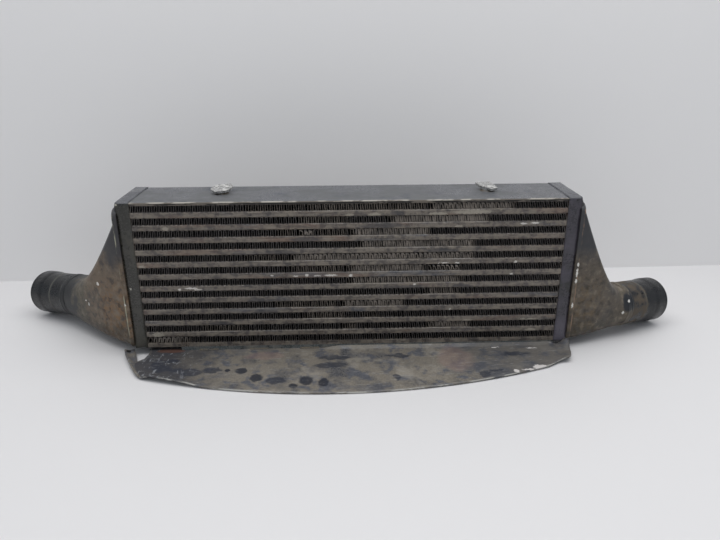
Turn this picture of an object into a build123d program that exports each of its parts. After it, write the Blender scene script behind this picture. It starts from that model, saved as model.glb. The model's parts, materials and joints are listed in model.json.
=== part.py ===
"""Bar-and-plate charge-air cooler with swept-back cast end tanks, in millimetres.

The frame stands at the middle of the core's underside: +X runs along the core to the right-hand tank as
seen from the front, +Y from the front face to the back, and +Z up through the stack of air rows.
"""
import os
from math import cos, radians, sin

from build123d import *

os.makedirs("parts", exist_ok=True)

# Core: air rows and charge tubes brazed into one stack between two plates
core_length = 600.0         # over the end bars
core_depth = 89.0           # front face to back face
air_row_count = 12
fin_height = 9.0
tube_height = 8.0
end_bar_width = 16.0        # closes each air row at its two ends
closing_bar_width = 8.0     # closes each charge tube at its front and back
sheet_gauge = 0.8           # parting sheet
bar_chamfer = 1.0
top_plate_gauge = 4.0
bottom_plate_gauge = 6.0
plate_edge_radius = 1.5

# Corrugated inserts
air_fin_gauge = 0.4
air_fin_leg_count = 84
turbulator_gauge = 0.4
turbulator_leg_count = 12
turbulator_setback = 5.0    # from each open end of a charge tube

# End tanks
tank_wall = 3.5
tank_corner = 8.0
tank_collar_length = 2.5    # straight part of the casting, by the core
tank_section_count = 11
tank_last_share = 0.82      # of the way to the mouth, where the last section stands
tank_section_crowding = 1.4 # of the sections towards the core, where the shoulder is steepest
tank_fall = 2.2             # how much sooner the shoulder falls than a straight slope would
left_shoulder = 191.0       # height that each shoulder falls from, above the core's underside
right_shoulder = 205.0
tank_rim_start = 1.0        # from the end of the core to the turned-out rim
tank_rim_width = 5.5
tank_rim_proud = 4.0        # in front of the core and behind it
tank_rim_drop = 8.0         # of the rim's top below the core's top
tank_rim_corner = 12.0
tank_neck = 8.0             # round spigot that the pipe is welded to
tank_neck_step = 0.6        # by which the spigot is larger than the pipe
tank_neck_flat = 2.0        # flat left in each side of the duct where it meets the spigot

# Hose pipes
pipe_radius = 31.75         # for a 63.5 mm hose
pipe_wall = 3.25
pipe_droop = 6.0            # degrees below level
bead_radius = 33.25
bead_length = 20.0
bead_shoulder = 4.0
bead_edge_radius = 2.5
left_pipe_length = 72.0
right_pipe_length = 80.0
left_pipe_sweep = 30.0      # degrees to the back
right_pipe_sweep = 27.0
left_rim_out = 186.3        # centre of each pipe's end beyond the end of the core
right_rim_out = 162.1
left_rim_back = 116.1       # and behind the middle of the core
right_rim_back = 47.4
rim_height = 21.4           # and above the core's underside

# Seams and weld beads
seam_height = 1.6           # smooth painted seam over the end bars
pipe_weld_radius = 2.2

# Broken-off mounting stubs on the top plate
stub_neck_radius = 8.0
stub_head_gauge = 3.0
stub_height = 7.5
stub_pitch = 12.0           # degrees by which the torn head leans to the front
stub_weld_size = 2.0
stub_set_back = 4.0         # behind the middle of the core
left_stub_inset = 126.0     # from the end of the core
right_stub_inset = 113.0
left_stub_outline = ((-14, -4), (-7, -12), (6, -10), (12, -4), (15, 5), (11, 14), (-2, 13), (-10, 8))
right_stub_outline = ((-11, -2), (-2, -9), (3, -13), (12, -9), (6, 10), (-5, 12), (-15, 9))

# Air guide: a folded sheet that reaches forward from under the core, on a strip
strip_height = 5.5
strip_depth = 10.0
strip_left_inset = 62.0     # from the left end of the core
guide_gauge = 2.0
guide_nose = 112.0          # in front of the core, at the middle of the bowed edge
guide_left_reach = 68.0     # in front of the core, at the nose's left corner
guide_left_inset = 23.0     # of that corner from the end of the core
guide_right_reach = 44.0
guide_right_inset = 6.0
guide_lip_height = 4.0      # of its rear edge where that is turned up, on the right
guide_lip_start = 250.0     # from the left end of the core
guide_lip_taper = 35.0
gusset_height = 12.0        # of the corner folded up against the right tank's rim
gusset_reach = 16.0
guide_hole_radius = 2.5
# Points round its right end, each beyond the end of the core and in front of it
guide_right_outline = ((3, 22), (4, 3), (-3, -10))
# Points round its torn left end and the tab, each in from the end of the core and in front of it
guide_torn_outline = ((16, -10), (19, 18), (13, 38), (-4, -10), (-12, -10), (-20, -2), (-14, 9), (0, 35), (14, 58))
tack_count = 3
tack_first = 38.0           # from the left end of the strip
tack_pitch = 70.0
tack_length = 26.0
tack_radius = 1.8

# Worked-out heights
row_pitch = fin_height + tube_height
stack_height = air_row_count * fin_height + (air_row_count - 1) * tube_height
core_height = bottom_plate_gauge + stack_height + top_plate_gauge
front_y = -core_depth / 2
fin_length = core_length - 2 * end_bar_width
charge_width = core_depth - 2 * closing_bar_width
charge_height = tube_height - 2 * sheet_gauge
bore_radius = pipe_radius - pipe_wall
neck_radius = pipe_radius + tank_neck_step
core_end = core_length / 2
floor_height = rim_height - bead_radius * cos(radians(pipe_droop))   # of the surface that it stands on
strip_left = strip_left_inset - core_end
strip_right = core_end - end_bar_width


def air_row_floor(row):
    """Height of the underside of an air row, where row 0 is the lowest."""
    return bottom_plate_gauge + row * row_pitch


def corrugation(width, height, legs, gauge):
    """Corners of a zig-zag strip that touches both sides of its channel, centred on its width."""
    step = width / legs
    rise = height - gauge
    low = [(-width / 2 + i * step, rise * (i % 2)) for i in range(legs + 1)]
    high = [(x, z + gauge) for x, z in reversed(low)]
    return low + high


# ---------------------------------------------------------------- corrugated air fins
for row in range(air_row_count):
    with BuildPart() as air_fin:
        with BuildSketch(Plane.XZ.offset(-core_depth / 2)):
            with BuildLine():
                Polyline(*[(x, z + air_row_floor(row)) for x, z in
                           corrugation(fin_length, fin_height, air_fin_leg_count, air_fin_gauge)], close=True)
            make_face()
        extrude(amount=core_depth)
    air_fin.part.label = f"air_fin_{air_row_count - row:02d}"
    export_step(air_fin.part, f"parts/{air_fin.part.label}.step")

# ---------------------------------------------------------------- end bars that close the air rows
for side, name in ((-1, "left"), (1, "right")):
    with BuildPart() as end_bars:
        for row in range(air_row_count):
            with BuildSketch(Plane.XY.offset(air_row_floor(row))):
                with Locations((side * (core_length - end_bar_width) / 2, 0)):
                    Rectangle(end_bar_width, core_depth)
            extrude(amount=fin_height)
    end_bars.part.label = f"{name}_end_bars"
    export_step(end_bars.part, f"parts/{end_bars.part.label}.step")

# ---------------------------------------------------------------- charge tubes and their turbulators
for tube in range(air_row_count - 1):
    tube_floor = air_row_floor(tube) + fin_height
    tube_middle = tube_floor + tube_height / 2

    with BuildPart() as charge_tube:
        with BuildSketch(Plane.YZ.offset(-core_length / 2)):
            with Locations((0, tube_middle)):
                Rectangle(core_depth, tube_height)
                Rectangle(charge_width, charge_height, mode=Mode.SUBTRACT)
        extrude(amount=core_length)
        long_edges = charge_tube.edges().filter_by(Axis.X)
        chamfer(long_edges.group_by(Axis.Y)[0] + long_edges.group_by(Axis.Y)[-1], bar_chamfer)
    charge_tube.part.label = f"charge_tube_{air_row_count - 1 - tube:02d}"
    export_step(charge_tube.part, f"parts/{charge_tube.part.label}.step")

    with BuildPart() as turbulator:
        with BuildSketch(Plane.YZ.offset(turbulator_setback - core_length / 2)):
            with BuildLine():
                Polyline(*[(y, z + tube_floor + sheet_gauge) for y, z in
                           corrugation(charge_width, charge_height, turbulator_leg_count, turbulator_gauge)],
                         close=True)
            make_face()
        extrude(amount=core_length - 2 * turbulator_setback)
    turbulator.part.label = f"turbulator_{air_row_count - 1 - tube:02d}"
    export_step(turbulator.part, f"parts/{turbulator.part.label}.step")

# ---------------------------------------------------------------- core plates
with BuildPart() as core_top_plate:
    with BuildSketch(Plane.XY.offset(bottom_plate_gauge + stack_height)):
        Rectangle(core_length, core_depth)
    extrude(amount=top_plate_gauge)
    fillet(core_top_plate.faces().sort_by(Axis.Z)[-1].edges().filter_by(Axis.X), plate_edge_radius)
core_top_plate.part.label = "core_top_plate"
export_step(core_top_plate.part, "parts/core_top_plate.step")

with BuildPart() as core_bottom_plate:
    with BuildSketch(Plane.XY):
        Rectangle(core_length, core_depth)
    extrude(amount=bottom_plate_gauge)
core_bottom_plate.part.label = "core_bottom_plate"
export_step(core_bottom_plate.part, "parts/core_bottom_plate.step")


# ---------------------------------------------------------------- end tanks, pipes and their welds
class TankSide:
    """Where one tank goes: the sweep of its duct, its mouth, and the sections that the casting runs through.

    Each section is its distance out from the core, how far its middle lies behind the core's middle,
    its turn to the back in degrees, its width across the duct, the heights of its top and bottom, its
    corner radius, and the gauge of its top, measured upright so that a steep wall keeps its thickness.
    """

    def __init__(self, side, pipe_sweep, rim_out, rim_back, pipe_length, shoulder):
        self.side = side
        self.pipe_length = pipe_length
        sweep, droop = radians(pipe_sweep), radians(pipe_droop)
        self.direction = Vector(side * cos(sweep) * cos(droop), sin(sweep) * cos(droop), -sin(droop))
        rim = Vector(side * (core_end + rim_out), rim_back, rim_height)
        self.mouth = rim - self.direction * pipe_length
        across = Vector(-self.direction.Y, self.direction.X, 0)
        self.mouth_plane = Plane(self.mouth, x_dir=across, z_dir=self.direction)
        self.lathe_plane = Plane(self.mouth, x_dir=across, z_dir=across.cross(self.direction))
        self.axis = Axis(self.mouth, self.direction)

        run = side * self.mouth.X - core_end - tank_collar_length
        mouth_top, mouth_bottom = self.mouth.Z + pipe_radius, self.mouth.Z - pipe_radius
        self.sections = []
        for i in range(tank_section_count):
            share = tank_last_share * (i / (tank_section_count - 1)) ** tank_section_crowding
            to_go = (1 - share) ** tank_fall
            slope = tank_fall * (shoulder - mouth_top) * to_go / (1 - share) / run
            self.sections.append((
                tank_collar_length + share * run,
                share * self.mouth.Y,
                (1 - to_go) * pipe_sweep,
                core_depth + share ** 2 * (3 - 2 * share) * (2 * pipe_radius - core_depth),
                mouth_top + (shoulder - mouth_top) * to_go if share else core_height,
                share * mouth_bottom,
                tank_corner + share * (pipe_radius - tank_corner),
                tank_wall * (1 + slope ** 2) ** 0.5))

    def plane(self, out, back, turn):
        """Upright plane across the duct."""
        normal = Vector(self.side * cos(radians(turn)), sin(radians(turn)), 0)
        origin = Vector(self.side * (core_end + out), back, 0)
        return Plane(origin, x_dir=Vector(-normal.Y, normal.X, 0), z_dir=normal)


tank_sides = {
    "left": TankSide(-1, left_pipe_sweep, left_rim_out, left_rim_back, left_pipe_length, left_shoulder),
    "right": TankSide(1, right_pipe_sweep, right_rim_out, right_rim_back, right_pipe_length, right_shoulder),
}

for name, place in tank_sides.items():
    with BuildPart() as tank:
        # The outside: duct, spigot, collar and turned-out rim
        for out, back, turn, width, top, bottom, corner, top_wall in place.sections:
            with BuildSketch(place.plane(out, back, turn)):
                with Locations((0, (top + bottom) / 2)):
                    RectangleRounded(width, top - bottom, corner)
        with BuildSketch(place.mouth_plane.offset(-tank_neck)):
            RectangleRounded(2 * pipe_radius, 2 * pipe_radius, pipe_radius - tank_neck_flat / 2)
        loft(ruled=True)
        with BuildSketch(place.mouth_plane):
            Circle(neck_radius)
        extrude(amount=-tank_neck)
        with BuildSketch(Plane.YZ.offset(place.side * core_end)):
            with Locations((0, core_height / 2)):
                RectangleRounded(core_depth, core_height, tank_corner)
        extrude(amount=place.side * tank_collar_length)
        with BuildSketch(Plane.YZ.offset(place.side * (core_end + tank_rim_start))):
            with Locations((0, (core_height - tank_rim_drop) / 2)):
                RectangleRounded(core_depth + 2 * tank_rim_proud, core_height - tank_rim_drop, tank_rim_corner)
        extrude(amount=place.side * tank_rim_width)

        # The inside, from the open side at the core to the bore of the pipe
        for out, back, turn, width, top, bottom, corner, top_wall in place.sections:
            with BuildSketch(place.plane(out, back, turn)):
                with Locations((0, (top - top_wall + bottom + tank_wall) / 2)):
                    RectangleRounded(width - 2 * tank_wall, top - top_wall - bottom - tank_wall,
                                     corner - tank_wall)
        with BuildSketch(place.mouth_plane.offset(-tank_neck)):
            RectangleRounded(2 * bore_radius, 2 * bore_radius, bore_radius - tank_neck_flat / 2)
        loft(ruled=True, mode=Mode.SUBTRACT)
        with BuildSketch(place.mouth_plane):
            Circle(neck_radius - pipe_wall)
        extrude(amount=-tank_neck, mode=Mode.SUBTRACT)
        cavity_top = core_height - place.sections[0][-1]
        with BuildSketch(Plane.YZ.offset(place.side * core_end)):
            with Locations((0, (cavity_top + tank_wall) / 2)):
                RectangleRounded(core_depth - 2 * tank_wall, cavity_top - tank_wall, tank_corner - tank_wall)
        extrude(amount=place.side * tank_collar_length, mode=Mode.SUBTRACT)
    tank.part.label = f"{name}_tank"
    export_step(tank.part, f"parts/{tank.part.label}.step")

    with BuildPart() as pipe:
        with BuildSketch(place.lathe_plane):
            with BuildLine():
                bead_start = place.pipe_length - bead_length
                edge_start = place.pipe_length - bead_edge_radius
                Polyline((bore_radius, 0), (pipe_radius, 0), (pipe_radius, bead_start - bead_shoulder),
                         (bead_radius, bead_start), (bead_radius, edge_start))
                CenterArc((bead_radius - bead_edge_radius, edge_start), bead_edge_radius, 0, 90)
                Polyline((bead_radius - bead_edge_radius, place.pipe_length),
                         (bore_radius, place.pipe_length), (bore_radius, 0))
            make_face()
        revolve(axis=place.axis)
    pipe.part.label = f"{name}_pipe"
    export_step(pipe.part, f"parts/{pipe.part.label}.step")

    with BuildPart() as core_seam:
        with BuildSketch(Plane.YZ.offset(place.side * (core_end - end_bar_width))):
            with Locations((0, core_height / 2)):
                Rectangle(core_depth + 2 * seam_height, core_height + 2 * seam_height)
                Rectangle(core_depth, core_height, mode=Mode.SUBTRACT)
        extrude(amount=place.side * (end_bar_width + tank_rim_start))
        outer_faces = (core_seam.faces().filter_by(Axis.Z).sort_by(Axis.Z)[::3]
                       + core_seam.faces().filter_by(Axis.Y).sort_by(Axis.Y)[::3])
        chamfer(outer_faces.edges().filter_by(Axis.X, reverse=True), 0.7 * seam_height)
    core_seam.part.label = f"{name}_core_seam"
    export_step(core_seam.part, f"parts/{core_seam.part.label}.step")

    with BuildPart() as pipe_weld:
        with BuildSketch(place.lathe_plane):
            with BuildLine():
                Polyline((neck_radius, -pipe_weld_radius), (neck_radius, 0), (pipe_radius, 0),
                         (pipe_radius, pipe_weld_radius))
                ThreePointArc((pipe_radius, pipe_weld_radius), (pipe_radius + pipe_weld_radius, 0.2),
                              (neck_radius, -pipe_weld_radius))
            make_face()
        revolve(axis=place.axis)
    pipe_weld.part.label = f"{name}_pipe_weld"
    export_step(pipe_weld.part, f"parts/{pipe_weld.part.label}.step")

# ---------------------------------------------------------------- mounting stubs on the top plate
for name, stub_x, outline in (("left", left_stub_inset - core_end, left_stub_outline),
                              ("right", core_end - right_stub_inset, right_stub_outline)):
    foot = Vector(stub_x, stub_set_back, core_height)

    with BuildPart() as stub:
        with BuildSketch(Plane(foot)):
            Circle(stub_neck_radius)
        extrude(amount=stub_height - stub_head_gauge / 2)
        with BuildSketch(Plane(foot + Vector(0, 0, stub_height)).rotated((stub_pitch, 0, 0))):
            with BuildLine():
                Polyline(*outline, close=True)
            make_face()
        extrude(amount=-stub_head_gauge)
    stub.part.label = f"{name}_mounting_stub"
    export_step(stub.part, f"parts/{stub.part.label}.step")

    with BuildPart() as stub_weld:
        with BuildSketch(Plane.XZ.offset(-foot.Y)):
            with BuildLine():
                Polyline((foot.X + stub_neck_radius, foot.Z),
                         (foot.X + stub_neck_radius + stub_weld_size, foot.Z),
                         (foot.X + stub_neck_radius, foot.Z + stub_weld_size), close=True)
            make_face()
        revolve(axis=Axis(foot, (0, 0, 1)))
    stub_weld.part.label = f"{name}_stub_weld"
    export_step(stub_weld.part, f"parts/{stub_weld.part.label}.step")

# ---------------------------------------------------------------- air guide under the front of the core
with BuildPart() as guide_strip:
    with BuildSketch(Plane.XY):
        with Locations(((strip_left + strip_right) / 2, front_y + strip_depth / 2)):
            Rectangle(strip_right - strip_left, strip_depth)
    extrude(amount=-strip_height)
guide_strip.part.label = "guide_strip"
export_step(guide_strip.part, "parts/guide_strip.step")

# The sheet is folded flat under the strip and runs down to the floor; then its outline is cut,
# with a bowed nose, a torn notch by the left end and a bent tab outside it.
guide_length = 2 * (core_end + 25)
with BuildPart() as air_guide:
    with BuildSketch(Plane.YZ.offset(-guide_length / 2)):
        with BuildLine():
            back, front, nose = front_y + strip_depth, front_y, front_y - guide_nose
            low_back, low_nose = -strip_height - guide_gauge, floor_height
            Polyline((back, low_back), (front, low_back), (nose, low_nose), (nose, low_nose + guide_gauge),
                     (front, low_back + guide_gauge), (back, low_back + guide_gauge), close=True)
        make_face()
    extrude(amount=guide_length)
    with BuildSketch(Plane.XY.offset(floor_height - 1)):
        with BuildLine():
            left_corner = (guide_left_inset - core_end, front_y - guide_left_reach)
            right_corner = (core_end - guide_right_inset, front_y - guide_right_reach)
            ThreePointArc(left_corner, (-10, front_y - guide_nose), right_corner)
            Polyline(right_corner, *[(core_end + out, front_y - ahead) for out, ahead in guide_right_outline],
                     *[(inset - core_end, front_y - ahead) for inset, ahead in guide_torn_outline], left_corner)
        make_face()
        with Locations((-12 - core_end, front_y)):
            Circle(guide_hole_radius, mode=Mode.SUBTRACT)
    extrude(amount=-floor_height + 1, mode=Mode.INTERSECT)
    # Its rear edge is turned up in front of the strip, on the right
    with BuildSketch(Plane.XZ.offset(-front_y)):
        with BuildLine():
            lip_start = guide_lip_start - core_end
            Polyline((lip_start, low_back), (lip_start, -strip_height),
                     (lip_start + guide_lip_taper, guide_lip_height - strip_height),
                     (strip_right, guide_lip_height - strip_height), (strip_right, low_back), close=True)
        make_face()
    extrude(amount=guide_gauge)
    # Its right corner is folded up against the tank's rim
    with BuildSketch(Plane.YZ.offset(core_end + tank_rim_start)):
        with BuildLine():
            fold = front_y - tank_rim_proud
            Polyline((fold, low_back), (fold, gusset_height - strip_height),
                     (fold - gusset_reach, low_back), close=True)
        make_face()
    extrude(amount=guide_gauge)
air_guide.part.label = "air_guide"
export_step(air_guide.part, "parts/air_guide.step")

with BuildPart() as guide_tacks:
    for i in range(tack_count):
        tack_x = strip_left + tack_first + i * tack_pitch
        with BuildSketch(Plane.YZ.offset(tack_x - tack_length / 2)):
            with Locations((front_y, -strip_height)):
                Circle(tack_radius)
        extrude(amount=tack_length)
    add(guide_strip.part, mode=Mode.SUBTRACT)
    add(air_guide.part, mode=Mode.SUBTRACT)
guide_tacks.part.label = "guide_tacks"
export_step(guide_tacks.part, "parts/guide_tacks.step")
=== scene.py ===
"""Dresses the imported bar-and-plate charge-air cooler: worn paint, dust, crushed fins and a torn guide."""
import json
from math import pi, radians

import bmesh
import bpy
from mathutils import Matrix, Vector, noise


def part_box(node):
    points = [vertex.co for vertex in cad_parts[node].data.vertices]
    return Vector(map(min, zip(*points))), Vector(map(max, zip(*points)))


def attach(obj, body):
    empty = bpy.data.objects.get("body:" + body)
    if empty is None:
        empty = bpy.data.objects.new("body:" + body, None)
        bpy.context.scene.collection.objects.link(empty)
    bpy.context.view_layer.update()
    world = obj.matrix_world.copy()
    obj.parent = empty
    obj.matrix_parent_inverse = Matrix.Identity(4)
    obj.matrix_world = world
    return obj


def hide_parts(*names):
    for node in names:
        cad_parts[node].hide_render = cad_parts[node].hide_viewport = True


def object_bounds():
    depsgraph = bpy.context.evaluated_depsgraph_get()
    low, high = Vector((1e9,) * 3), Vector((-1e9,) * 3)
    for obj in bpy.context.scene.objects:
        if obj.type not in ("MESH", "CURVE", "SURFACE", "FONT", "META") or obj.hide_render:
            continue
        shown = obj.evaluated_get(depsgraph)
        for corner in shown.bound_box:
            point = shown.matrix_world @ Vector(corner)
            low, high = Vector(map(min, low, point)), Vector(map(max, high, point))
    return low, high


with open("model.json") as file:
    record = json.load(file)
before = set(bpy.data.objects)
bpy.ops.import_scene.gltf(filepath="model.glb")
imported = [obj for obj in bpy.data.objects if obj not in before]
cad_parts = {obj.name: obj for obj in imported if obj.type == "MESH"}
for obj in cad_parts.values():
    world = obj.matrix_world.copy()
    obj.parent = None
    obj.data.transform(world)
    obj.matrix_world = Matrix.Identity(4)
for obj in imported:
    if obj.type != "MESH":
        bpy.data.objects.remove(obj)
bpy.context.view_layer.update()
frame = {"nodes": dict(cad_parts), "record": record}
mm = 0.001

# ---------------------------------------------------------------- camera
# A hand-held camera in front of the part and a little above it, turned down to it and level to a quarter of
# a degree. Its place is in metres and its turns are in degrees.
view_place = (-0.01128, -0.81523, 0.40132)
view_pitch, view_yaw, view_roll = 20.674, 1.672, -0.253
camera_data = bpy.data.cameras.new("camera")
camera_data.sensor_width = 36.0
camera_data.lens = 30.71
camera = bpy.data.objects.new("camera", camera_data)
bpy.context.collection.objects.link(camera)
look = Matrix.Rotation(radians(-view_yaw), 4, "Z") @ Matrix.Rotation(radians(90 - view_pitch), 4, "X")
roll = Matrix.Rotation(radians(view_roll), 4, "Z")
camera.matrix_world = Matrix.Translation(view_place) @ look @ roll
bpy.context.scene.camera = camera

# ---------------------------------------------------------------- studio
# A white table top, a pale wall behind it, a wide soft lamp overhead and an even grey surround. The wall is
# clear from its back, so that the part can be seen from behind.
floor_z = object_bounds()[0].z
board_reach = 6.0           # of the table top and the wall, each way, in metres
table_gap = 0.0002          # keeps the table top clear of the part's underside
wall_distance = 0.2612      # behind the middle of the part
wall_turn = 1.3             # degrees


def stage_plane(name, colour, roughness):
    """A square of painted board that belongs to the studio."""
    mesh = bpy.data.meshes.new(name)
    shape = bmesh.new()
    bmesh.ops.create_grid(shape, x_segments=1, y_segments=1, size=board_reach)
    shape.to_mesh(mesh)
    plane = bpy.data.objects.new(name, mesh)
    bpy.context.collection.objects.link(plane)
    material = bpy.data.materials.new(name)
    material.use_nodes = True
    surface = material.node_tree.nodes["Principled BSDF"]
    surface.inputs["Base Color"].default_value = (*colour, 1)
    surface.inputs["Roughness"].default_value = roughness
    plane.data.materials.append(material)
    return plane


floor = stage_plane("table_top", (0.648, 0.636, 0.634), 0.6)
floor.location.z = floor_z - table_gap

wall = stage_plane("wall", (0.79, 0.775, 0.765), 0.9)
wall.visible_shadow = False
upright = Matrix.Rotation(radians(wall_turn), 4, "Z") @ Matrix.Rotation(radians(90), 4, "X")
wall.matrix_world = Matrix.Translation((0, wall_distance, floor_z)) @ upright
wall_nodes = wall.active_material.node_tree
clear = wall_nodes.nodes.new("ShaderNodeBsdfTransparent")
facing = wall_nodes.nodes.new("ShaderNodeNewGeometry")
one_sided = wall_nodes.nodes.new("ShaderNodeMixShader")
wall_nodes.links.new(facing.outputs["Backfacing"], one_sided.inputs[0])
wall_nodes.links.new(wall_nodes.nodes["Principled BSDF"].outputs[0], one_sided.inputs[1])
wall_nodes.links.new(clear.outputs[0], one_sided.inputs[2])
wall_nodes.links.new(one_sided.outputs[0], wall_nodes.nodes["Material Output"].inputs["Surface"])

world = bpy.data.worlds.new("surround")
bpy.context.scene.world = world
world.use_nodes = True
world.node_tree.nodes["Background"].inputs["Color"].default_value = (0.86, 0.92, 1.0, 1)
world.node_tree.nodes["Background"].inputs["Strength"].default_value = 0.55

lamp_data = bpy.data.lights.new("overhead_lamp", "AREA")
lamp_data.shape = "RECTANGLE"
lamp_data.size, lamp_data.size_y = 2.2, 1.2
lamp_data.energy = 22.0
lamp = bpy.data.objects.new("overhead_lamp", lamp_data)
bpy.context.collection.objects.link(lamp)
lamp.location = (0.1, -0.25, 1.5)
lamp.rotation_euler = (radians(-8), 0, 0)

bpy.context.scene.view_settings.view_transform = "Standard"

# ---------------------------------------------------------------- core top plate
# An aluminium plate brazed over the top air row, sprayed black and worn to a blue-grey sheen. Its front
# edge has been dragged over, so the paint is broken there and pale metal shows, with a painted highlight
# along that edge and painted shade in a gap across the front face.


def shade(red, green, blue):
    """A colour written as screen values from 0 to 255."""
    return tuple((value / 255) ** 2.2 for value in (red, green, blue)) + (1.0,)


def feed(tree, value, socket):
    """Links a socket to another one, or gives it a value."""
    if isinstance(value, bpy.types.NodeSocket):
        tree.links.new(value, socket)
    else:
        socket.default_value = value


def calculate(tree, operation, first, second):
    """One sum on two values or sockets."""
    step = tree.nodes.new("ShaderNodeMath")
    step.operation = operation
    feed(tree, first, step.inputs[0])
    feed(tree, second, step.inputs[1])
    return step.outputs[0]


def plus(tree, first, second):
    return calculate(tree, "ADD", first, second)


def times(tree, first, second):
    return calculate(tree, "MULTIPLY", first, second)


def between(tree, value, low, high):
    """A mask that rises softly from 0 to 1 as the value goes from low to high."""
    step = tree.nodes.new("ShaderNodeMapRange")
    step.interpolation_type = "SMOOTHSTEP"
    feed(tree, value, step.inputs["Value"])
    feed(tree, low, step.inputs["From Min"])
    feed(tree, high, step.inputs["From Max"])
    return step.outputs["Result"]


def band(tree, place, low, high):
    """A mask that rises softly from 0 to 1 as a place on the piece goes from low to high, in millimetres."""
    return between(tree, place, low * mm, high * mm)


def tint(tree, mask, under, over):
    """One colour over another where the mask says."""
    step = tree.nodes.new("ShaderNodeMix")
    step.data_type = "RGBA"
    feed(tree, mask, step.inputs["Factor"])
    feed(tree, under, step.inputs[6])
    feed(tree, over, step.inputs[7])
    return step.outputs[2]


def place_on(tree):
    """The X, Y and Z of the point on the piece, in metres."""
    point = tree.nodes.new("ShaderNodeTexCoord").outputs["Object"]
    axes = tree.nodes.new("ShaderNodeSeparateXYZ")
    tree.links.new(point, axes.inputs[0])
    return axes.outputs


def grain(tree, size, detail=5.0, stretch=(1, 1, 1), offset=0.0):
    """Noise whose features are about so many millimetres across, or as dense as a socket says."""
    point = tree.nodes.new("ShaderNodeMapping")
    tree.links.new(tree.nodes.new("ShaderNodeTexCoord").outputs["Object"], point.inputs["Vector"])
    point.inputs["Scale"].default_value = [1 / value for value in stretch]
    point.inputs["Location"].default_value = (offset, offset * 0.7, offset * 0.3)
    texture = tree.nodes.new("ShaderNodeTexNoise")
    tree.links.new(point.outputs[0], texture.inputs["Vector"])
    texture.inputs["Detail"].default_value = detail
    texture.inputs["Roughness"].default_value = 0.62
    feed(tree, size if isinstance(size, bpy.types.NodeSocket) else 1000 / size, texture.inputs["Scale"])
    return texture.outputs["Fac"]


def new_group(name, sockets_in, sockets_out):
    """An empty shader group with its named sockets."""
    group = bpy.data.node_groups.new(name, "ShaderNodeTree")
    kinds = {"value": "NodeSocketFloat", "colour": "NodeSocketColor", "place": "NodeSocketVector"}
    for direction, sockets in (("INPUT", sockets_in), ("OUTPUT", sockets_out)):
        for socket, kind in sockets.items():
            group.interface.new_socket(socket, in_out=direction, socket_type=kinds[kind])
    return group, group.nodes.new("NodeGroupInput").outputs, group.nodes.new("NodeGroupOutput").inputs


# Old paint: dust lies over it in patches, stains show through the dust, and a fine speckle covers all
old_paint, given, result = new_group(
    "old_paint",
    {"Paint": "colour", "Dust": "colour", "Dust Cover": "value", "Stain": "colour", "Stain Cover": "value",
     "Patch Density": "value"},
    {"Colour": "colour", "Roughness": "value", "Height": "value"})
noise_top = 0.74            # hardly any of the noise is higher, so a cover of 0 shows nearly none
cover_drop = 0.5            # from there to where a full cover reaches


def patches(field, cover, soft_below, soft_above):
    """A soft-edged mask of the parts of a noise that a cover from 0 to 1 reaches."""
    edge = calculate(old_paint, "SUBTRACT", noise_top, times(old_paint, cover, cover_drop))
    return between(old_paint, field, calculate(old_paint, "SUBTRACT", edge, soft_below),
                   plus(old_paint, edge, soft_above))


dust_patches = grain(old_paint, given["Patch Density"], detail=9.0)
dust_mask = patches(dust_patches, given["Dust Cover"], 0.10, 0.10)
stain_patches = grain(old_paint, times(old_paint, given["Patch Density"], 2.3), detail=7.0, offset=3.0)
stain_mask = patches(stain_patches, given["Stain Cover"], 0.06, 0.08)
speckle = grain(old_paint, 2.2, detail=5.0, offset=1.0)
dusty = tint(old_paint, dust_mask, given["Paint"], given["Dust"])
stained = tint(old_paint, stain_mask, dusty, given["Stain"])
speckled = old_paint.nodes.new("ShaderNodeHueSaturation")
old_paint.links.new(stained, speckled.inputs["Color"])
feed(old_paint, plus(old_paint, 0.35, times(old_paint, speckle, 1.3)), speckled.inputs["Value"])
dust_roughness = times(old_paint, dust_mask, 0.30)
feed(old_paint, speckled.outputs[0], result["Colour"])
feed(old_paint, plus(old_paint, dust_roughness, times(old_paint, speckle, 0.5)), result["Roughness"])
feed(old_paint, plus(old_paint, times(old_paint, dust_mask, 0.4), speckle), result["Height"])

# A round mark at one place on a piece, in shares of its reach from its centre
mark, given, result = new_group(
    "mark", {"Point": "place", "Centre": "place", "Reach": "place"}, {"Mask": "value"})
away = mark.nodes.new("ShaderNodeVectorMath")
away.operation = "SUBTRACT"
feed(mark, given["Point"], away.inputs[0])
feed(mark, given["Centre"], away.inputs[1])
share = mark.nodes.new("ShaderNodeVectorMath")
share.operation = "DIVIDE"
feed(mark, away.outputs[0], share.inputs[0])
feed(mark, given["Reach"], share.inputs[1])
distance = mark.nodes.new("ShaderNodeVectorMath")
distance.operation = "LENGTH"
feed(mark, share.outputs[0], distance.inputs[0])
mark_fades_out, mark_is_full = 1.1, 0.75
feed(mark, between(mark, distance.outputs["Value"], mark_fades_out, mark_is_full), result["Mask"])


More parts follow.
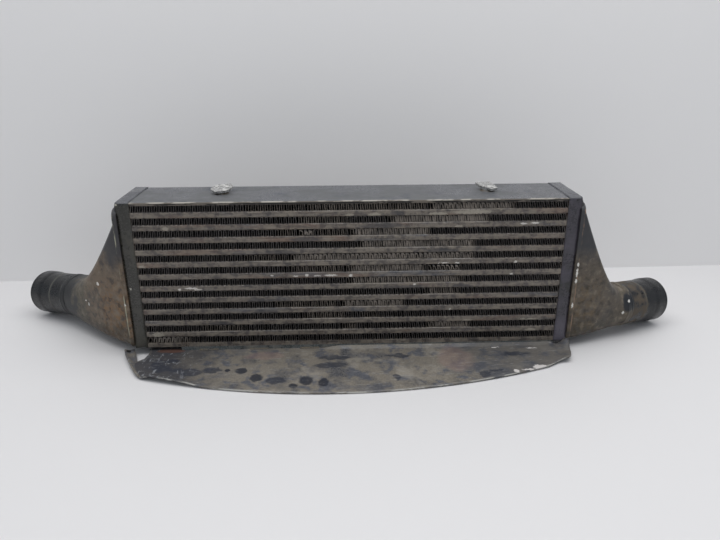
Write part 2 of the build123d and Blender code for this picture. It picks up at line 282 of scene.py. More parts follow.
def marks(tree, places, wander, feature):
    """A mask of ragged marks. Each place is a centre and a reach along X, Y and Z, in millimetres. The edges
    wander by so many millimetres, in bays about as long as a feature."""
    point = tree.nodes.new("ShaderNodeTexCoord").outputs["Object"]
    wobble = tree.nodes.new("ShaderNodeTexNoise")
    tree.links.new(point, wobble.inputs["Vector"])
    wobble.inputs["Scale"].default_value = 1000 / feature
    wobble.inputs["Detail"].default_value = 4.0
    shift = tree.nodes.new("ShaderNodeVectorMath")
    shift.operation = "MULTIPLY_ADD"
    tree.links.new(wobble.outputs["Color"], shift.inputs[0])
    shift.inputs[1].default_value = [2 * wander * mm] * 3
    tree.links.new(point, shift.inputs[2])
    total = 0.0
    for centre, reach in places:
        one = tree.nodes.new("ShaderNodeGroup")
        one.node_tree = mark
        tree.links.new(shift.outputs[0], one.inputs["Point"])
        one.inputs["Centre"].default_value = [(value + wander) * mm for value in centre]
        one.inputs["Reach"].default_value = [value * mm for value in reach]
        total = calculate(tree, "MAXIMUM", total, one.outputs["Mask"])
    return total


def finish(name, paint, dust, dust_cover, stain, stain_cover, patch, bump=0.25, metal=0.0):
    """A material of old paint whose patches are about so many millimetres across."""
    material = bpy.data.materials.new(name)
    material.use_nodes = True
    tree = material.node_tree
    surface = tree.nodes["Principled BSDF"]
    paintwork = tree.nodes.new("ShaderNodeGroup")
    paintwork.node_tree = old_paint
    for socket, value in (("Paint", paint), ("Dust", dust), ("Dust Cover", dust_cover), ("Stain", stain),
                          ("Stain Cover", stain_cover), ("Patch Density", 1000 / patch)):
        paintwork.inputs[socket].default_value = value
    tree.links.new(paintwork.outputs["Colour"], surface.inputs["Base Color"])
    tree.links.new(paintwork.outputs["Roughness"], surface.inputs["Roughness"])
    relief = tree.nodes.new("ShaderNodeBump")
    relief.inputs["Strength"].default_value = bump
    relief.inputs["Distance"].default_value = 0.5 * mm
    tree.links.new(paintwork.outputs["Height"], relief.inputs["Height"])
    tree.links.new(relief.outputs[0], surface.inputs["Normal"])
    surface.inputs["Metallic"].default_value = metal
    return material


def lay_over(material, mask, colour, cover=1.0, roughness=None, metallic=None):
    """Lays another colour over what a material has so far, where the mask says and as thickly as cover."""
    tree = material.node_tree
    surface = tree.nodes["Principled BSDF"]
    if cover < 1:
        mask = times(tree, mask, cover)
    before = surface.inputs["Base Color"].links[0].from_socket
    tree.links.new(tint(tree, mask, before, colour), surface.inputs["Base Color"])
    for socket, value in (("Roughness", roughness), ("Metallic", metallic)):
        if value is not None:
            links = surface.inputs[socket].links
            old = links[0].from_socket if links else surface.inputs[socket].default_value
            kept = times(tree, old, calculate(tree, "SUBTRACT", 1.0, mask))
            feed(tree, plus(tree, kept, times(tree, mask, value)), surface.inputs[socket])


def wear(piece, material):
    """Gives a piece its material."""
    piece.data.materials.clear()
    piece.data.materials.append(material)


plate_low, plate_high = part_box("core_top_plate")
plate_front, plate_top = plate_low.y / mm, plate_high.z / mm
top_colour = shade(74, 75, 79)
top_paint = finish("top_plate_paint", top_colour, shade(84, 85, 86), 0.45, shade(64, 66, 73), 0.30,
                   patch=90, bump=0.08)
tree = top_paint.node_tree
_, y, z = place_on(tree)
front_face = band(tree, y, plate_front + 0.9, plate_front + 0.3)
lay_over(top_paint, front_face, shade(101, 94, 86), roughness=0.8)
# The broken pale line along the top of the front edge is bare metal and a painted highlight on the edge.
lip = times(tree, band(tree, y, plate_front + 2.6, plate_front + 0.9),
            band(tree, z, plate_top - 1.7, plate_top - 0.9))
broken = between(tree, grain(tree, 7, detail=8, stretch=(3, 1, 1)), 0.46, 0.54)
lay_over(top_paint, times(tree, lip, broken), shade(158, 153, 143), roughness=0.6)
# Painted shade: a dark broken band across the middle of the front face stands for the shade in the gap there.
slot = times(tree, band(tree, z, plate_top - 1.3, plate_top - 1.9),
             band(tree, z, plate_top - 4.2, plate_top - 3.4))
torn = between(tree, grain(tree, 9, detail=7, stretch=(4, 1, 0.6), offset=2.0), 0.44, 0.49)
lay_over(top_paint, times(tree, times(tree, front_face, slot), torn), shade(36, 34, 33), roughness=0.9)
wear(frame["nodes"]["core_top_plate"], top_paint)

# ---------------------------------------------------------------- air fins
# Thin aluminium strip corrugated to fill each air row. The front is peppered and, across the middle, run
# over: there the ends of the legs lean over one another and close the row.
leg_pitch = 3.05
leg_gauge = 0.6
leg_slant = 0.14            # of each leg, in pitches
left_lean = 0.4             # of the crests over the roots at the left end, in pitches
lean_change = 1.15          # by which the lean has fallen at the right end
crush_fade = 9.0            # at each end of a crushed stretch
section_depths = (0.0, 2.4, 5.5)    # behind the front; the last section is at the back
crushed = {     # row: stretches along X in millimetres, how far closed, and how far the crests sag
    1: ((-140, -60, 0.35, 0), (-60, 100, 0.6, 0.6), (100, 215, 1.0, 2.5)),
    2: ((-72, -2, 0.6, 0.3), (46, 182, 1.0, 1.0)),
    3: ((-100, -72, 0.4, 0), (-72, -48, 1.0, 5.0), (-48, -4, 0.5, 0), (-4, 104, 1.0, 0.8)),
    4: ((6, 165, 1.0, 1.2),),
    5: ((-145, -85, 0.5, 1.0), (-85, 165, 1.0, 2.6)),
    6: ((-85, -10, 0.6, 1.0), (-10, 100, 1.0, 1.5), (100, 150, 0.7, 4.0)),
    7: ((-8, 152, 0.9, 1.0),),
    8: ((96, 150, 0.8, 0.8),),
    9: ((-108, -18, 0.6, 0.8), (-18, 72, 1.0, 2.2)),
    10: ((-72, -8, 0.6, 0.4), (10, 40, 0.5, 0)),
    11: ((-210, -150, 0.5, 0.8), (-16, 8, 0.6, 0.3), (100, 165, 1.0, 1.6)),
    12: ((-284, -222, 0.9, 2.0), (262, 284, 0.5, 0.5)),
}

# The strip's own colour is near-black: painted shade deep in the narrow air rows. Only the front half
# millimetre of each leg, and the folded-over ends, show the metal's dusty grey.
fin_metal_and_row_shade = finish("fin_metal_and_row_shade", shade(15, 14, 15), shade(24, 22, 22), 0.4, shade(11, 11, 12), 0.3, patch=9,
                   bump=0.1)
tree = fin_metal_and_row_shade.node_tree
_, y, _ = place_on(tree)
fin_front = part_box("air_fin_01")[0].y
closed_place = tree.nodes.new("ShaderNodeUVMap")
closed_place.uv_map = "closed"
closed_axes = tree.nodes.new("ShaderNodeSeparateXYZ")
tree.links.new(closed_place.outputs[0], closed_axes.inputs[0])
how_closed = closed_axes.outputs[0]
folded = times(tree, how_closed, 1.7 * mm)
near_front = between(tree, y, plus(tree, folded, fin_front + 0.55 * mm),
                     plus(tree, folded, fin_front + 0.1 * mm))
tips = between(tree, grain(tree, 14, detail=6), 0.34, 0.62)
tip_colour = tint(tree, times(tree, how_closed, 3.0), shade(106, 101, 98), shade(118, 110, 102))
lay_over(fin_metal_and_row_shade, times(tree, near_front, plus(tree, 0.45, times(tree, tips, 0.55))), tip_colour,
         roughness=0.7)

for row in sorted(crushed):
    name = f"air_fin_{row:02d}"
    low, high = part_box(name)
    leg_count = round((high.x - low.x) / (leg_pitch * mm))
    pitch = (high.x - low.x) / leg_count
    section_places = [low.y + depth * mm for depth in section_depths] + [high.y]
    along, across = 2 * leg_count - 1, len(section_depths)
    shape = bmesh.new()
    closed_layer = shape.loops.layers.uv.new("closed")
    bmesh.ops.create_grid(shape, x_segments=along, y_segments=across, size=0.5)
    for vert in shape.verts:
        step, section = round((vert.co.x + 0.5) * along), round((vert.co.y + 0.5) * across)
        leg, end = divmod(step, 2)
        upper = (leg % 2 == 0) == (end == 1)
        lean = left_lean - lean_change * (leg / leg_count)
        x = low.x + pitch * (leg + 0.5 + (end - 0.5) * leg_slant + (upper - 0.5) * lean)
        z = high.z if upper else low.z
        closed, sag = 0.0, 0.0
        for start, stop, amount, drop in crushed[row]:
            inside = (min(1, max(0, (x / mm - start) / crush_fade))
                      * min(1, max(0, (stop - x / mm) / crush_fade)))
            closed, sag = max(closed, inside * amount), max(sag, inside * drop)
        for loop in vert.link_loops:
            loop[closed_layer].uv = (closed, 0.5)
        depth = section_places[section]
        if section < 2:
            weight = 1.0 if section == 0 else 0.15
            ruffle = noise.noise((leg * 0.9, row * 5.3, upper * 0.3))
            sway = noise.noise((x * 45, row * 3.1, 7.0))
            fold = 0.95 + 0.35 * ruffle + 0.3 * sway * (1 if upper else -0.6)
            x += weight * pitch * (0.16 * ruffle + closed * fold)
            if upper:
                z -= weight * mm * sag * (1 + 0.6 * sway)
            else:
                z += weight * mm * 0.3 * sag * (1 + sway)
        if section == 0:
            depth += closed * mm * (1.2 + noise.noise((x * 200, row, 3.0)))
        vert.co = (min(max(x, low.x), high.x), depth, z)
    mesh = bpy.data.meshes.new(name + "_strip")
    shape.to_mesh(mesh)
    fin = bpy.data.objects.new(name + "_strip", mesh)
    bpy.context.collection.objects.link(fin)
    gauge = fin.modifiers.new("gauge", "SOLIDIFY")
    gauge.thickness = leg_gauge * mm
    gauge.offset = 0.0
    wear(fin, fin_metal_and_row_shade)
    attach(fin, "root")
    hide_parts(name)

# ---------------------------------------------------------------- charge tubes, end bars and bottom plate
# Flat brazed tubes whose closing bars show as the stripes of the core, with road dirt burnt on. Stones and
# the ground have scratched them bright in places, and the last air row's bars and plate are the same metal.
tube_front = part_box("charge_tube_01")[0].y / mm


def bar_marks(tree, places, depth, wander, feature):
    """Marks on the front of the bars. Each place is X, Z and a reach along and up, in millimetres."""
    centres = [((x_mm, tube_front, z_mm), (long, depth, tall)) for x_mm, z_mm, long, tall in places]
    return marks(tree, centres, wander, feature)


bar_metal = finish("bar_metal", shade(98, 90, 82), shade(116, 108, 98), 0.5, shade(72, 67, 64), 0.42,
                   patch=22, bump=0.45)
tree = bar_metal.node_tree
warm = between(tree, grain(tree, 40, detail=5, stretch=(4, 1, 0.6), offset=5.0), 0.54, 0.68)
lay_over(bar_metal, warm, shade(112, 88, 74), cover=0.55)
blue = between(tree, grain(tree, 34, detail=5, stretch=(3, 1, 0.5), offset=9.0), 0.56, 0.68)
lay_over(bar_metal, blue, shade(70, 76, 86), cover=0.5)
streaks = grain(tree, 3.5, detail=6, stretch=(7, 1, 0.8), offset=13.0)
lay_over(bar_metal, between(tree, streaks, 0.52, 0.66), shade(128, 120, 110), cover=0.55)
lay_over(bar_metal, between(tree, streaks, 0.46, 0.34), shade(56, 52, 50), cover=0.6)
smudges = bar_marks(tree, [
    (-95, 136, 26, 4), (40, 172, 30, 4), (-130, 68, 14, 4), (-120, 50, 20, 4), (75, 84, 26, 4),
    (150, 84, 16, 4), (-60, 154, 22, 4), (120, 136, 24, 4), (-180, 34, 18, 4), (60, 188, 10, 4)],
    depth=4, wander=3, feature=6)
lay_over(bar_metal, smudges, shade(50, 50, 54), cover=0.6)
pale = bar_marks(tree, [
    (-241, 171, 4, 3), (-278, 119, 5, 2), (-268, 19, 9, 3), (30, 187, 9, 2.4), (-2, 187, 7, 2),
    (113, 187, 14, 2.2), (160, 189, 27, 3), (141, 169, 6, 2), (250, 17, 8, 2.4), (245, 33, 14, 2),
    (160, 33, 8, 2)], depth=3, wander=2.8, feature=3)
lay_over(bar_metal, pale, shade(150, 143, 130), cover=0.75)
bright = bar_marks(tree, [
    (-232, 86, 2.2, 1.6), (-216, 87.5, 9, 1.3), (-207, 85.5, 6, 0.9), (-107, 104, 2.2, 1), (-75, 103, 4, 0.8),
    (-60, 104, 2.4, 2), (-46, 103, 5, 0.9), (-28, 103.4, 9, 1.4), (-2, 102, 3, 1.4), (227, 172.4, 5, 1.2),
    (242, 173, 6, 1.2), (221, 118.6, 2.4, 2.2), (216.5, 101.3, 2.2, 1.6), (142, 118.4, 4, 1.1),
    (117, 116, 1, 4), (85, 88.5, 2, 1.6), (-1, 103, 2, 2), (125, 119, 6, 0.7), (262, 32, 4, 0.9),
    (135, 50, 1, 2.5)], depth=3, wander=2.2, feature=1.7)
lay_over(bar_metal, bright, shade(196, 192, 184), roughness=0.4, metallic=0.3)
turbulator_metal = finish("turbulator_metal", shade(170, 170, 168), shade(150, 148, 142), 0.3,
                          shade(120, 118, 114), 0.2, patch=12, metal=0.9)
for name, node in frame["nodes"].items():
    if name.startswith("charge_tube") or name.endswith("end_bars"):
        wear(node, bar_metal)
    elif name == "core_bottom_plate":
        wear(node, bar_metal)
    elif name.startswith("turbulator"):
        wear(node, turbulator_metal)

# ---------------------------------------------------------------- core seams
# The ends of the core are dressed smooth with filler and paint, from the last fin to the tank, right round.
# The paint is thick, a little rippled, and dark, with dust in its hollows.
seam_corner_radius = 3.0
seam_skin = 0.3
deepest_ripple = 1.3
seam_strips = (5, 14, 34)   # that each seam is cut into along X, Y and Z
for side, name in ((-1, "left"), (1, "right")):
    low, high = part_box(f"{name}_core_seam")
    middle, size = (low + high) / 2, high - low
    shape = bmesh.new()
    bmesh.ops.create_cube(shape, size=1.0, matrix=Matrix.Translation(middle) @ Matrix.Diagonal((*size, 1)))
    ends = [face for face in shape.faces if abs(face.normal.x) > 0.9]
    bmesh.ops.delete(shape, geom=ends, context="FACES_ONLY")
    corners = [edge for edge in shape.edges if abs(edge.verts[0].co.x - edge.verts[1].co.x) > size.x / 2]
    bmesh.ops.bevel(shape, geom=corners, offset=seam_corner_radius * mm, segments=3, profile=0.5,
                    affect="EDGES", material=-1)
    for axis, count in enumerate(seam_strips):
        for i in range(1, count):
            spot = low.copy()
            spot[axis] += size[axis] * i / count
            normal = Vector((0, 0, 0))
            normal[axis] = 1
            bmesh.ops.bisect_plane(shape, geom=shape.verts[:] + shape.edges[:] + shape.faces[:], dist=1e-6,
                                   plane_co=spot, plane_no=normal)
    bmesh.ops.recalc_face_normals(shape, faces=shape.faces[:])
    for vert in shape.verts:
        from_fins = (side * vert.co.x - min(abs(low.x), abs(high.x))) / size.x
        sink = 0.35 + 0.65 * abs(noise.noise(vert.co * 45)) + 0.5 * (1 - from_fins) ** 3
        vert.co -= vert.normal * mm * min(deepest_ripple, sink)
    mesh = bpy.data.meshes.new(name + "_seam")
    shape.to_mesh(mesh)
    mesh.shade_smooth()
    seam = bpy.data.objects.new(name + "_seam", mesh)
    bpy.context.collection.objects.link(seam)
    skin = seam.modifiers.new("skin", "SOLIDIFY")
    skin.thickness = seam_skin * mm
    skin.offset = -1.0
    if side < 0:
        tone, dust = shade(52, 51, 47), shade(70, 68, 61)
    else:
        tone, dust = shade(54, 52, 58), shade(70, 67, 74)
    seam_paint = finish(f"{name}_seam_paint", tone, dust, 0.4, shade(42, 42, 42), 0.25, patch=44, bump=0.35)
    tree = seam_paint.node_tree
    _, _, z = place_on(tree)
    top = high.z / mm
    lay_over(seam_paint, band(tree, z, top - 2.6, top - 1.6), top_colour)
    if side < 0:
        chips = marks(tree, [((-296, -46, 88), (1.2, 3, 2)), ((-300, -46, 204), (2.0, 3, 1.3))], wander=2,
                      feature=1.6)
        lay_over(seam_paint, chips, shade(170, 168, 156), roughness=0.5)
    else:
        low_down = band(tree, plus(tree, z, times(tree, grain(tree, 14), 40 * mm)), 62, 36)
        lay_over(seam_paint, low_down, shade(92, 88, 97), cover=0.7)
    wear(seam, seam_paint)
    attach(seam, "root")
    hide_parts(f"{name}_core_seam")

# ---------------------------------------------------------------- end tanks
# Hollow castings with a turned-out rim by the core and a duct that sweeps down and back to the pipe. Black
# paint is left near the rim; brown dust is baked on the flanks, and the rim's edge is worn to bright metal.
core_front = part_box("core_bottom_plate")[0].y / mm
core_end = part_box("core_bottom_plate")[1].x / mm


def cast_copy(name, sharp_angle, edge_radius):
    """A closed copy of a CAD node with smooth flanks and rounded edges, which then stands for it."""
    shape = bmesh.new()
    shape.from_mesh(frame["nodes"][name].data)
    bmesh.ops.remove_doubles(shape, verts=shape.verts[:], dist=0.5e-5)
    bmesh.ops.dissolve_limit(shape, angle_limit=radians(0.6), verts=shape.verts[:], edges=shape.edges[:])
    mesh = bpy.data.meshes.new(name + "_casting")
    shape.to_mesh(mesh)
    mesh.shade_smooth()
    mesh.set_sharp_from_angle(angle=radians(sharp_angle))
    copy = bpy.data.objects.new(name + "_casting", mesh)
    bpy.context.collection.objects.link(copy)
    if edge_radius:
        rounding = copy.modifiers.new("rounding", "BEVEL")
        rounding.width = edge_radius * mm
        rounding.segments = 2
        rounding.limit_method = "ANGLE"
        rounding.angle_limit = radians(sharp_angle)
    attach(copy, "root")
    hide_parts(name)
    return copy


clean_black = shade(27, 29, 33)     # where the dirt is rubbed off the right neck and pipe
for side, name in ((-1, "left"), (1, "right")):
    if side < 0:
        dust, rust_colour, neck_dust, worn_edge = (shade(97, 83, 68), shade(126, 98, 72), shade(76, 73, 62),
                                                   shade(150, 149, 130))
        chips = [((-351.6, -15.3, 84.9), (2.3, 4, 2.6)), ((-376.5, 3.6, 46.2), (1.1, 4, 2.8)),
                 ((-382, 7.8, 50), (1.4, 4, 1.4)), ((-306, -48, 66), (1.2, 3, 2))]
    else:
        dust, rust_colour, neck_dust, worn_edge = (shade(82, 74, 64), shade(98, 84, 66), shade(84, 76, 64),
                                                   shade(134, 110, 92))
        chips = [((305, -48.5, 115), (1.6, 3, 3)), ((305, -48.5, 103), (1.4, 3, 7)),
                 ((305, -48.5, 91), (1.2, 3, 4)), ((304, -48.5, 55), (1.2, 3, 4)),
                 ((390.8, -20.2, 29.7), (1.4, 4, 2.6)), ((399, -16.5, 46), (1.9, 6, 2.1))]
    tank_paint = finish(f"{name}_tank_paint", shade(56, 53, 50), dust, 0.85, shade(68, 62, 54), 0.3, patch=70,
                        bump=0.4)
    tree = tank_paint.node_tree
    x, y, z = place_on(tree)
    outward = times(tree, x, side)
    ragged = times(tree, calculate(tree, "SUBTRACT", grain(tree, 22, detail=8), 0.5), 70 * mm)
    ragged_z = plus(tree, z, ragged)
    ragged_outward = plus(tree, outward, ragged)
    rust = times(tree, band(tree, ragged_z, 105, 65), band(tree, ragged_outward, 362, 335))
    rust_grain = between(tree, grain(tree, 8, detail=8, offset=4.0), 0.40, 0.62)
    lay_over(tank_paint, times(tree, rust, rust_grain), rust_colour, cover=0.75, roughness=0.9)
    lay_over(tank_paint, band(tree, ragged_z, 34, 14), shade(58, 53, 44), cover=0.7)
    lay_over(tank_paint, band(tree, ragged_outward, 372, 392), neck_dust, cover=0.75)
    mottle = grain(tree, 11, detail=12, offset=31.0)
    lay_over(tank_paint, between(tree, mottle, 0.51, 0.66), shade(122, 112, 98), cover=0.5)
    lay_over(tank_paint, between(tree, mottle, 0.49, 0.36), shade(44, 40, 37), cover=0.7)
    if side < 0:
        lay_over(tank_paint, band(tree, ragged_outward, 400, 414), shade(22, 23, 25), roughness=0.45)
    else:
        neck_patch = marks(tree, [((398, -16, 44), (9, 16, 15))], wander=4, feature=7)
        lay_over(tank_paint, neck_patch, clean_black, roughness=0.4)
    lay_over(tank_paint, band(tree, ragged_z, 108, 142), shade(50, 51, 55), cover=0.9, roughness=0.55)
    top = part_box(f"{name}_tank")[1].z / mm
    lay_over(tank_paint, band(tree, z, top - 0.6, top - 0.2), top_colour)
    rim_edge = times(tree, band(tree, outward, core_end + 4.8, core_end + 5.8),
                     band(tree, y, core_front - 2.3, core_front - 3.1))
    scuffed = between(tree, grain(tree, 7, detail=7, stretch=(1, 1, 4)), 0.45, 0.56)
    lay_over(tank_paint, times(tree, rim_edge, scuffed), worn_edge, roughness=0.55)
    lay_over(tank_paint, marks(tree, chips, wander=2, feature=2), shade(206, 203, 196), roughness=0.4)
    wear(cast_copy(f"{name}_tank", 35, 0.7), tank_paint)

# ---------------------------------------------------------------- hose pipes and their welds
# Aluminium tube turned with a hose bead and a rolled lip, painted satin black. The band where the hose sat
# is clean; dirt has gathered against its edge and towards the tank.
tube_radius = 31.75
weld_flattening = 0.55      # share of the bead's height that is ground off
for side, name in ((-1, "left"), (1, "right")):
    bore = next(mount for mount in frame["record"]["mounts"] if mount["name"] == f"{name}_pipe_bore")
    axis = Vector(bore["axis"]).normalized()
    bore_radius, end = bore["dims"]["r_mm"], bore["dims"]["length_mm"]
    start = Vector(bore["pos_m"]) - axis * end * mm / 2
    across = axis.cross(Vector((0, 0, 1))).normalized()
    wall_section = [    # radius, and distance from the weld: the tube, the bead, its groove and the lip
        (bore_radius, 0.0), (tube_radius, 0.0), (tube_radius, end - 26), (31.9, end - 25), (32.6, end - 22.5),
        (33.0, end - 20), (33.1, end - 16), (32.9, end - 11), (33.0, end - 6), (33.05, end - 4.6),
        (32.5, end - 4.0), (32.5, end - 3.4), (33.05, end - 2.6), (32.8, end - 1.6), (32.0, end - 0.6),
        (30.6, end - 0.1), (29.4, end - 0.4), (bore_radius, end - 1.2)]
    shape = bmesh.new()
    ring = [shape.verts.new(start + axis * t * mm + across * r * mm) for r, t in wall_section]
    edges = [shape.edges.new((ring[i], ring[(i + 1) % len(ring)])) for i in range(len(ring))]
    bmesh.ops.spin(shape, geom=ring + edges, cent=start, axis=axis, angle=2 * pi, steps=96, use_merge=True)
    bmesh.ops.remove_doubles(shape, verts=shape.verts[:], dist=1e-6)
    bmesh.ops.recalc_face_normals(shape, faces=shape.faces[:])
    mesh = bpy.data.meshes.new(name + "_hose_pipe")
    shape.to_mesh(mesh)
    mesh.shade_smooth()
    mesh.set_sharp_from_angle(angle=radians(40))
    pipe = bpy.data.objects.new(name + "_hose_pipe", mesh)
    bpy.context.collection.objects.link(pipe)

    if side < 0:
        hose_edge, dirt_ends, dirt_grain = end - 44, (12, 6), (0.40, 0.60)
        dirt_colour, weld_tone, weld_dust = shade(80, 76, 60), shade(34, 35, 37), shade(44, 44, 44)
    else:
        hose_edge, dirt_ends, dirt_grain = end - 46, (end - 29, end - 33), (0.38, 0.55)
        dirt_colour, weld_tone, weld_dust = shade(84, 74, 62), shade(60, 56, 50), shade(84, 76, 64)
    pipe_paint = finish(f"{name}_pipe_paint", shade(12, 13, 16), shade(21, 22, 25), 0.35, shade(9, 10, 13),
                        0.3, patch=24, bump=0.15)
    tree = pipe_paint.node_tree
    position = tree.nodes.new("ShaderNodeVectorMath")
    position.operation = "DOT_PRODUCT"
    tree.links.new(tree.nodes.new("ShaderNodeTexCoord").outputs["Object"], position.inputs[0])
    position.inputs[1].default_value = axis
    reach = calculate(tree, "SUBTRACT", position.outputs["Value"], start.dot(axis))
    hose_ring = times(tree, band(tree, reach, hose_edge - 4, hose_edge - 1.5),
                      band(tree, reach, hose_edge + 0.4, hose_edge - 0.4))
    lay_over(pipe_paint, hose_ring, shade(104, 102, 94), cover=0.5, roughness=0.8)
    behind = band(tree, plus(tree, reach, times(tree, grain(tree, 20), 30 * mm)), *dirt_ends)
    dirt = between(tree, grain(tree, 13, detail=7, offset=6.0), *dirt_grain)
    lay_over(pipe_paint, times(tree, behind, dirt), dirt_colour, cover=0.8, roughness=0.9)
    wear(pipe, pipe_paint)
    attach(pipe, "root")
    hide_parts(f"{name}_pipe")
    weld_paint = finish(f"{name}_weld_paint", weld_tone, weld_dust, 0.6, shade(36, 36, 36), 0.3, patch=12,
                        bump=0.5)
    if side > 0:
        for material in (pipe_paint, weld_paint):
            patch = marks(material.node_tree, [((402, -14, 43), (9, 16, 15))], wander=4, feature=7)
            lay_over(material, patch, clean_black, roughness=0.4)
    weld = cast_copy(f"{name}_pipe_weld", 50, 0)
    for vert in weld.data.vertices:
        spoke = vert.co - start - axis * (vert.co - start).dot(axis)
        vert.co -= spoke.normalized() * max(0.0, spoke.length - tube_radius * mm) * weld_flattening
    wear(weld, weld_paint)

# ---------------------------------------------------------------- mounting stubs
# What is left of two brackets that were welded to the top: a stump, and a torn plate smeared bright where
# it was broken off. Their welds are as dusty as the right pipe's and have its paint.
stub_metal = finish("stub_metal", shade(140, 139, 137), shade(160, 159, 157), 0.4, shade(96, 95, 94), 0.35,
                    patch=6, bump=0.9, metal=0.1)
tree = stub_metal.node_tree
# Painted highlights: small bright, shinier spots laid into the colour as glints on the smeared metal.
painted_glints = between(tree, grain(tree, 7, detail=6, offset=8.0), 0.53, 0.60)
lay_over(stub_metal, painted_glints, shade(205, 204, 200), roughness=0.35, metallic=0.5)
for name in ("left", "right"):
    wear(cast_copy(f"{name}_mounting_stub", 35, 0.6), stub_metal)
    wear(frame["nodes"][f"{name}_stub_weld"], weld_paint)

# ---------------------------------------------------------------- guide strip and its tack welds
# A flat strip welded under the front of the core, painted with it, that carries the air guide.
strip_paint = finish("strip_paint", shade(88, 92, 92), shade(108, 106, 100), 0.4, shade(66, 68, 68), 0.3,
                     patch=30, bump=0.2)
wear(frame["nodes"]["guide_strip"], strip_paint)
wear(frame["nodes"]["guide_tacks"], weld_paint)

# ---------------------------------------------------------------- air guide
# A bowed sheet that reaches forward from the core down to the ground. Its nose is scraped, its left end is
# torn off its seam and bent away, its rear edge is turned up on the right, and its right corner is curled.
sheet_gauge = 1.6
rear_height, nose_drop = -6.3, 4.2      # of the sheet's middle at the core, and from there to the nose
nose_reach = 112.0
sheet_low, sheet_high = (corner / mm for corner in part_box("air_guide"))
box_gap = 0.9               # keeps the sheet's underside above the bottom of its box

# The nose runs through three points, and the two ends run along broken lines from the core to the nose
nose_start = (23 - core_end, core_front - 68)
nose_middle = (-10, core_front - nose_reach)
nose_end = (core_end - 6, core_front - 44)
sheet_left = [(-284, core_front + 9), (-281, core_front - 8), (-284, core_front - 18),
              (-296, core_front - 26), (-290, core_front - 48), nose_start]
sheet_right = [(297, core_front + 2), (core_end + 3.5, core_front - 6), (core_end + 3.5, core_front - 14),
               (core_end + 2.5, core_front - 24), (core_end - 1, core_front - 34), nose_end]
# The tab that is left beyond the tear, from the seam down to the nose
tab_outer = [(-318.5, core_front + 3), (-314, core_front - 9), (-300, core_front - 35),
             (-287, core_front - 57), (-279, core_front - 67)]
tab_inner = [(-306, core_front + 7), (-299, core_front - 8), (-292, core_front - 26),
             (-286, core_front - 40), (-278, core_front - 54)]


def through(x, *points):
    """Height at x of the curve through three points."""
    total = 0.0
    for i, (xi, yi) in enumerate(points):
        for j, (xj, _) in enumerate(points):
            if i != j:
                yi *= (x - xj) / (xi - xj)
        total += yi
    return total


def along_line(share, points):
    """Point at a share of the way along a broken line, with its stretches taken as equal."""
    place = min(share, 0.9999) * (len(points) - 1)
    i = int(place)
    return Vector(points[i]).lerp(Vector(points[i + 1]), place - i)


def ease(value):
    """A soft step from 0 to 1."""
    value = min(1.0, max(0.0, value))
    return value * value * (3 - 2 * value)


shape = bmesh.new()
spread = shape.loops.layers.uv.new("spread")    # u runs from the left end to the right, v from core to nose
long_steps, wide_steps = 150, 30
grid = bmesh.ops.create_grid(shape, x_segments=long_steps, y_segments=wide_steps, size=0.5, calc_uvs=False)
for vert in grid["verts"]:
    u, v = vert.co.x + 0.5, 0.5 - vert.co.y
    for loop in vert.link_loops:
        loop[spread].uv = (u, v)
for vert in grid["verts"]:
    u, v = vert.co.x + 0.5, 0.5 - vert.co.y
    left, right = along_line(v, sheet_left), along_line(v, sheet_right)
    x = left.x + (right.x - left.x) * u
    nose = through(x, nose_start, nose_middle, nose_end)
    upturn = ease((x + 50) / 35) * ease((288 - x) / 6)
    rear = core_front + 9 - 10.0 * ease((x + 60) / 30)
    if v < 1.5 / wide_steps and upturn > 0:     # the first two rows are the edge turned up against the core
        step = v * wide_steps
        y = core_front - 0.8 - 0.9 * step
        z = -5.9 + 4.2 * upturn * (1 - step)
    else:
        y = rear + (nose - rear) * v
        z = rear_height - nose_drop * max(0.0, (core_front - y) / nose_reach)
    right_end = ease((u - 0.94) / 0.06)
    y = y * (1 - right_end) + right_end * right.y
    dents = 0.9 * noise.noise((x * 0.012, y * 0.03, 3)) + 0.5 * noise.noise((x * 0.05, y * 0.06, 8))
    z += max(0.0, dents) * ease(v * 5)
    bent_nose = ease((v - 0.82) / 0.18) * ease((x + 276) / 14) * ease((-186 - x) / 40)
    folded_corner = ease((x - 290) / 13) * ease((y - core_front + 22) / 20)
    curl = ease(1 - ((x - 296) ** 2 + (y - core_front + 46) ** 2) ** 0.5 / 24)
    z += 4.5 * bent_nose
    z += 11.0 * folded_corner
    z += 5.0 * curl
    vert.co = Vector((x, min(max(y, sheet_low.y + 0.1), sheet_high.y), max(z, sheet_low.z + box_gap))) * mm

tab = bmesh.ops.create_grid(shape, x_segments=24, y_segments=8, size=0.5, calc_uvs=False)
for vert in tab["verts"]:
    u, v = vert.co.x + 0.5, vert.co.y + 0.5
    for loop in vert.link_loops:
        loop[spread].uv = (0.0, 0.5)
    outer, inner = along_line(u, tab_outer), along_line(u, tab_inner)
    x, y = outer.lerp(inner, v)
    z = -7.0 - 2.6 * u + 2.2 * (1 - ease(2 * v)) + 0.8 * noise.noise((x * 0.1, y * 0.1, 1))
    vert.co = Vector((x, y, max(z, sheet_low.z + box_gap))) * mm
bmesh.ops.recalc_face_normals(shape, faces=shape.faces[:])
mesh = bpy.data.meshes.new("bowed_sheet")
shape.to_mesh(mesh)
mesh.shade_smooth()
guide = bpy.data.objects.new("bowed_sheet", mesh)
bpy.context.collection.objects.link(guide)
gauge = guide.modifiers.new("gauge", "SOLIDIFY")
gauge.thickness = sheet_gauge * mm
gauge.offset = 0.0


def sheet_marks(tree, places, wander, feature):
    """Marks on the sheet. Each place is X, Y and a reach along and across, in millimetres."""
    centres = [((x_mm, y_mm, -8), (long, wide, 8)) for x_mm, y_mm, long, wide in places]
    return marks(tree, centres, wander, feature)


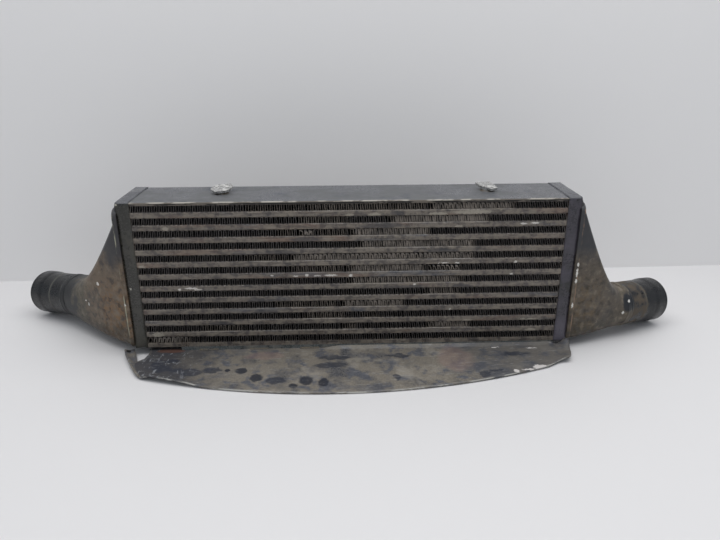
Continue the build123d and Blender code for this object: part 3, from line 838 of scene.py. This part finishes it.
guide_paint = finish("guide_paint", shade(80, 80, 82), shade(112, 106, 97), 0.62, shade(80, 81, 86), 0.36,
                     patch=46, bump=0.5)
tree = guide_paint.node_tree
sheet_place = tree.nodes.new("ShaderNodeUVMap")
sheet_place.uv_map = "spread"
sheet_axes = tree.nodes.new("ShaderNodeSeparateXYZ")
tree.links.new(sheet_place.outputs[0], sheet_axes.inputs[0])
from_left_end, towards_nose = sheet_axes.outputs[0], sheet_axes.outputs[1]
x, _, _ = place_on(tree)
blue_smears = between(tree, grain(tree, 30, detail=9, stretch=(1.6, 1, 1), offset=11.0), 0.52, 0.66)
lay_over(guide_paint, blue_smears, shade(68, 71, 80), cover=0.5, roughness=0.6)
pale_dust = between(tree, grain(tree, 44, detail=9, offset=21.0), 0.52, 0.64)
pale_dust = times(tree, pale_dust, band(tree, x, -140, -20))
lay_over(guide_paint, pale_dust, shade(138, 132, 122), cover=0.55, roughness=0.9)
pink_dust = marks(tree, [((140, -80, -8), (26, 34, 8)), ((-120, -64, -7), (30, 12, 8))], wander=9, feature=26)
lay_over(guide_paint, pink_dust, shade(132, 108, 100), cover=0.35, roughness=0.9)
left_dark = band(tree, plus(tree, x, times(tree, grain(tree, 24, detail=8), 120 * mm)), -85, -190)
left_dark = times(tree, left_dark, between(tree, from_left_end, 0.001, 0.006))
lay_over(guide_paint, left_dark, shade(49, 49, 54), cover=0.88, roughness=0.7)
right_dark = band(tree, plus(tree, x, times(tree, grain(tree, 24, detail=8), 80 * mm)), 170, 220)
lay_over(guide_paint, right_dark, shade(66, 66, 69), cover=0.5, roughness=0.7)
smears = sheet_marks(tree, [
    (-255, -92, 14, 10), (-236, -98, 14, 7), (-212, -102, 18, 9), (-186, -99, 13, 7), (-245, -74, 12, 5),
    (-262, -80, 9, 10), (172, -119, 9, 9), (188, -112, 10, 4), (-100, -126, 14, 8), (-30, -92, 24, 8),
    (-24, -72, 26, 6), (60, -70, 20, 5), (225, -70, 22, 6), (56, -124, 5, 7)], wander=8, feature=12)
lay_over(guide_paint, smears, shade(44, 47, 56), cover=0.8, roughness=0.55)
rubbed = sheet_marks(tree, [
    (-147.7, -101.6, 8, 8), (-125.8, -119, 9, 9.5), (-166, -99.7, 4, 4), (-76.8, -139, 6, 6),
    (-61, -128, 10, 11), (-38.5, -133, 7, 11)], wander=3.2, feature=7)
lay_over(guide_paint, rubbed, shade(34, 38, 48), cover=0.88, roughness=0.45)
fine_scratches = between(tree, grain(tree, 1.6, detail=3, stretch=(9, 1, 1), offset=17.0), 0.60, 0.68)
lay_over(guide_paint, fine_scratches, shade(150, 149, 148), cover=0.45, roughness=0.5)
# Painted highlight: pale streaks on the left part of the sheet stand for light on the ridges of its folds.
painted_fold_highlight = between(tree, grain(tree, 5, detail=7, stretch=(1, 2.5, 1), offset=27.0), 0.57, 0.64)
painted_fold_highlight = times(tree, painted_fold_highlight, band(tree, x, -190, -250))
lay_over(guide_paint, painted_fold_highlight, shade(140, 142, 146), cover=0.6, roughness=0.5)
rusty = marks(tree, [((-252, -46, -6), (20, 6, 4))], wander=3, feature=8)
lay_over(guide_paint, rusty, shade(84, 56, 44), cover=0.8, roughness=0.9)
nose_edge = between(tree, towards_nose, 0.984, 0.995)
scraped = between(tree, grain(tree, 10, detail=7, stretch=(3, 1, 1), offset=1.5), 0.45, 0.56)
lay_over(guide_paint, times(tree, nose_edge, scraped), shade(160, 158, 152), roughness=0.5)
chips = marks(tree, [
    ((214.7, -114.5, -8), (4, 4, 6)), ((245, -105, -8), (6, 6, 6)), ((253, -104, -8), (5, 4, 6)),
    ((232, -111, -8), (11, 1.6, 6)), ((250, -56, -6), (9, 1.2, 5)), ((200, -52, -6), (6, 1, 5))],
    wander=3.2, feature=4)
lay_over(guide_paint, chips, shade(205, 200, 196), cover=0.85, roughness=0.5)
# Painted shade: a dark spot stands for the hole in the torn tab, which the sheet itself does not have.
painted_hole_shade = marks(tree, [((-312, -44.5, -6), (3.4, 4, 8))], wander=0.4, feature=3)
lay_over(guide_paint, painted_hole_shade, shade(22, 20, 18), roughness=0.9)
wear(guide, guide_paint)
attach(guide, "root")
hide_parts("air_guide")
